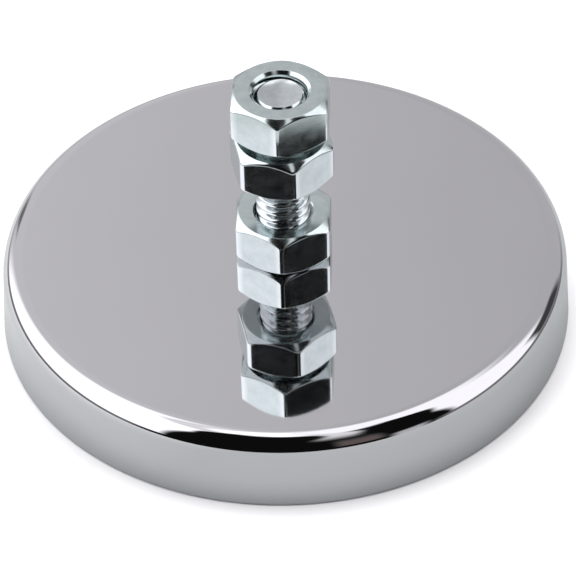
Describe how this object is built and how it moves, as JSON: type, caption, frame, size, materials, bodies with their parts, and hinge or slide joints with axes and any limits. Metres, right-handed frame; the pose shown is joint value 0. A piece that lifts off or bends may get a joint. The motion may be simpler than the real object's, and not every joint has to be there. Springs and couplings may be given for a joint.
{
  "type": "pot magnet with threaded stud",
  "caption": "Round pot magnet: a chromed steel cup over a ring magnet, with a threaded centre stud whose hex nuts fix it to a plate, bracket or eye.",
  "frame": {"origin": "middle of the rim plane, which is the plane of the pull face and the lowest plane of the part", "axes": "+Z along the stud, from the rim to the stud's free end; the front corners of the nuts point about along -Y"},
  "size_m": [0.067, 0.067, 0.0327],
  "materials": {
    "chrome_plate": "polished",
    "ferrite": "matte",
    "resin": "satin",
    "zinc_bolt": "satin",
    "zinc_nut": "satin"
  },
  "bodies": {
    "pot": {"pot_shell": "chrome_plate", "ring_magnet": "ferrite", "resin_bond": "resin"},
    "stud": {"stud_bolt": "zinc_bolt", "head_washer": "zinc_bolt"},
    "nut_base": {"base_nut": "zinc_nut"},
    "nut_lower": {"lower_jam_nut": "zinc_nut"},
    "nut_upper": {"upper_jam_nut": "zinc_nut"}
  },
  "joints": [
    {"name": "stud_turn", "type": "hinge", "parent": "pot", "child": "stud", "pos_m": [0, 0, 0.0095], "axis": [0, 0, 1], "continuous": true},
    {"name": "base_nut_travel", "type": "slide", "parent": "stud", "child": "nut_base", "axis": [0, 0, 1], "range_m": [0, 0.00254]},
    {"name": "lower_nut_travel", "type": "slide", "parent": "stud", "child": "nut_lower", "axis": [0, 0, 1], "range_m": [-0.00254, 0.00045]},
    {"name": "upper_nut_travel", "type": "slide", "parent": "stud", "child": "nut_upper", "axis": [0, 0, 1], "range_m": [-0.00045, 0.01016]}
  ]
}
